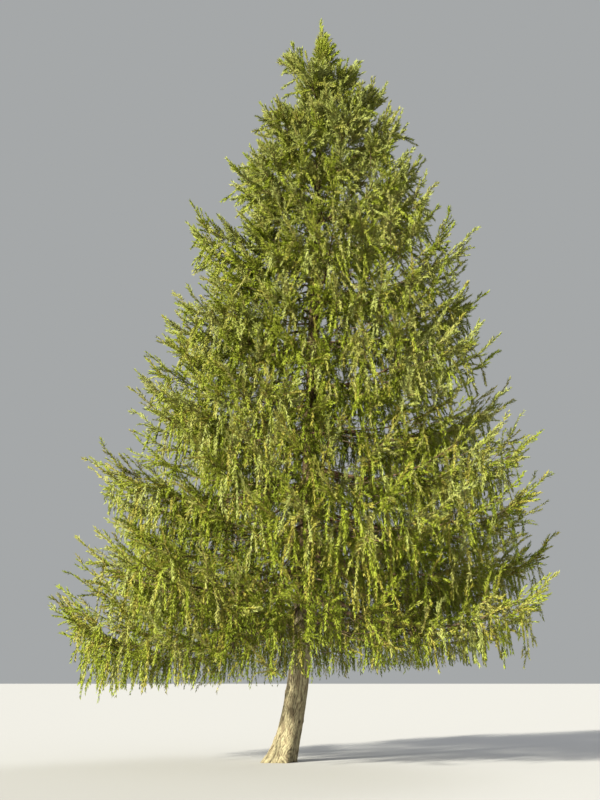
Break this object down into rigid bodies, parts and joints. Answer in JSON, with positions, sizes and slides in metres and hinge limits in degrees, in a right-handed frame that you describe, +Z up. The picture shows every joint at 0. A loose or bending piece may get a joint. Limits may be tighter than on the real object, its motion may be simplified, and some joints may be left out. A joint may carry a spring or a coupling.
{
  "type": "european larch tree",
  "caption": "Whole larch tree with a tapering, slightly swept trunk, spreading boughs with upturned tips and masses of hanging needled twigs.",
  "frame": {"origin": "middle of the trunk's flat cut at ground level", "axes": "+Z up the tree; +Y away from the viewer of the picture; +X to the viewer's right, the way the trunk leans"},
  "size_m": [10.8319, 10.2376, 16.3522],
  "materials": {
    "bark": "rough furrowed bark",
    "limb_bark": "rough bark",
    "needles": "matte needles and twigs"
  },
  "bodies": {
    "root": {"trunk": "bark", "bough_01": "limb_bark", "bough_02": "limb_bark", "bough_03": "limb_bark", "bough_04": "limb_bark", "bough_05": "limb_bark", "bough_06": "limb_bark", "bough_07": "limb_bark", "bough_08": "limb_bark", "bough_09": "limb_bark", "bough_10": "limb_bark", "bough_11": "limb_bark", "bough_12": "limb_bark", "bough_13": "limb_bark", "bough_14": "limb_bark", "bough_15": "limb_bark", "bough_16": "limb_bark", "bough_17": "limb_bark", "bough_18": "limb_bark", "bough_19": "limb_bark", "bough_20": "limb_bark", "bough_21": "limb_bark", "bough_22": "limb_bark", "foliage_01": "needles", "foliage_02": "needles", "foliage_03": "needles", "foliage_04": "needles", "foliage_05": "needles", "foliage_06": "needles", "foliage_07": "needles", "foliage_08": "needles", "foliage_09": "needles", "foliage_10": "needles", "foliage_11": "needles", "foliage_12": "needles", "foliage_13": "needles", "foliage_14": "needles", "foliage_15": "needles", "foliage_16": "needles", "foliage_17": "needles", "foliage_18": "needles", "foliage_19": "needles", "foliage_20": "needles", "foliage_21": "needles", "foliage_22": "needles", "foliage_23": "needles", "foliage_24": "needles", "foliage_25": "needles", "foliage_26": "needles", "foliage_27": "needles", "foliage_28": "needles", "foliage_29": "needles", "foliage_30": "needles", "foliage_31": "needles", "foliage_32": "needles", "foliage_33": "needles", "foliage_34": "needles", "foliage_35": "needles", "foliage_top": "needles"}
  },
  "joints": []
}
